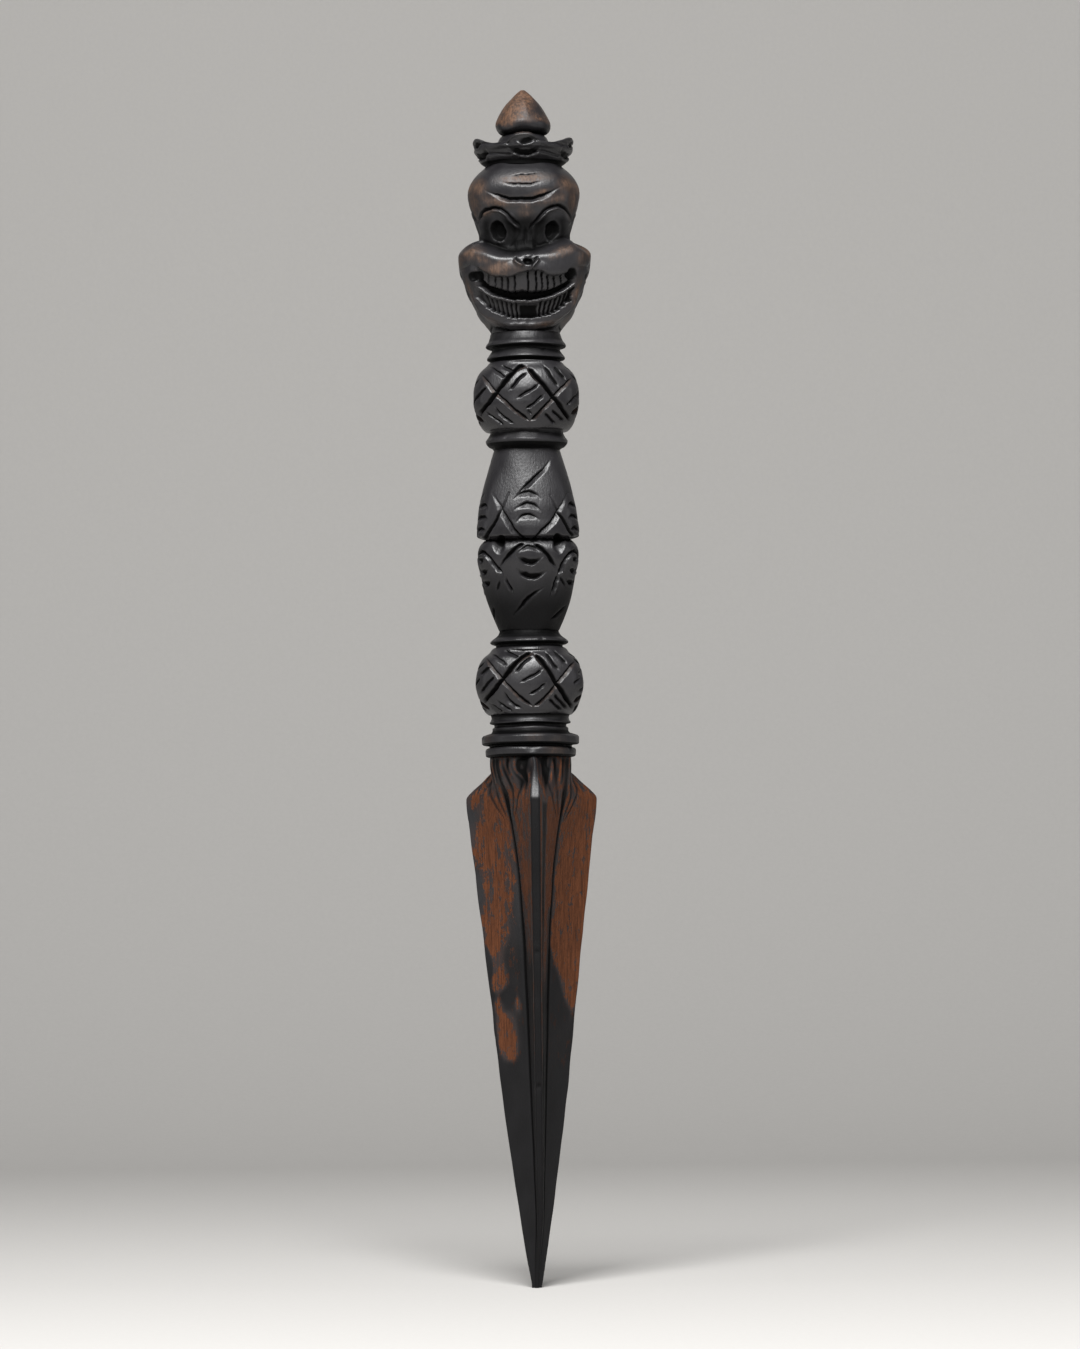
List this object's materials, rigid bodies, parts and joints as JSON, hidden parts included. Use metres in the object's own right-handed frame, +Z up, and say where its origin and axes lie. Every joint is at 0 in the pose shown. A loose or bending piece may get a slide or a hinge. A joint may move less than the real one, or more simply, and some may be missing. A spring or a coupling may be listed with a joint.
{
  "type": "phurba",
  "caption": "Carved wooden ritual dagger with a three-edged tapering blade, ringed collars, diamond-cut knots, a swelling grip, a fanged three-faced head, a leafed crown and a jewel",
  "frame": {"origin": "centre of the small flat at the blade's blunt point, the lowest place of the object", "axes": "+Z runs up the object from the point to the finial, -Y is the front that the first face and the first blade edge look along, +X is to the right seen from the front"},
  "size_m": [0.0378, 0.0412, 0.3414],
  "materials": {
    "stained_wood": "hand-carved hardwood, black stain rubbed to a satin sheen",
    "worn_blade_wood": "hand-carved hardwood, black stain flaked and rubbed through to orange-brown",
    "rubbed_wood": "hand-carved hardwood, stain worn off to warm brown"
  },
  "bodies": {
    "root": {"blade": "worn_blade_wood", "base_collar": "stained_wood", "lower_knot": "stained_wood", "lower_collar": "stained_wood", "grip_lower": "stained_wood", "grip_upper": "stained_wood", "upper_collar": "stained_wood", "upper_knot": "stained_wood", "neck_collar": "stained_wood", "head": "stained_wood", "crown": "stained_wood", "finial": "rubbed_wood"}
  },
  "joints": []
}
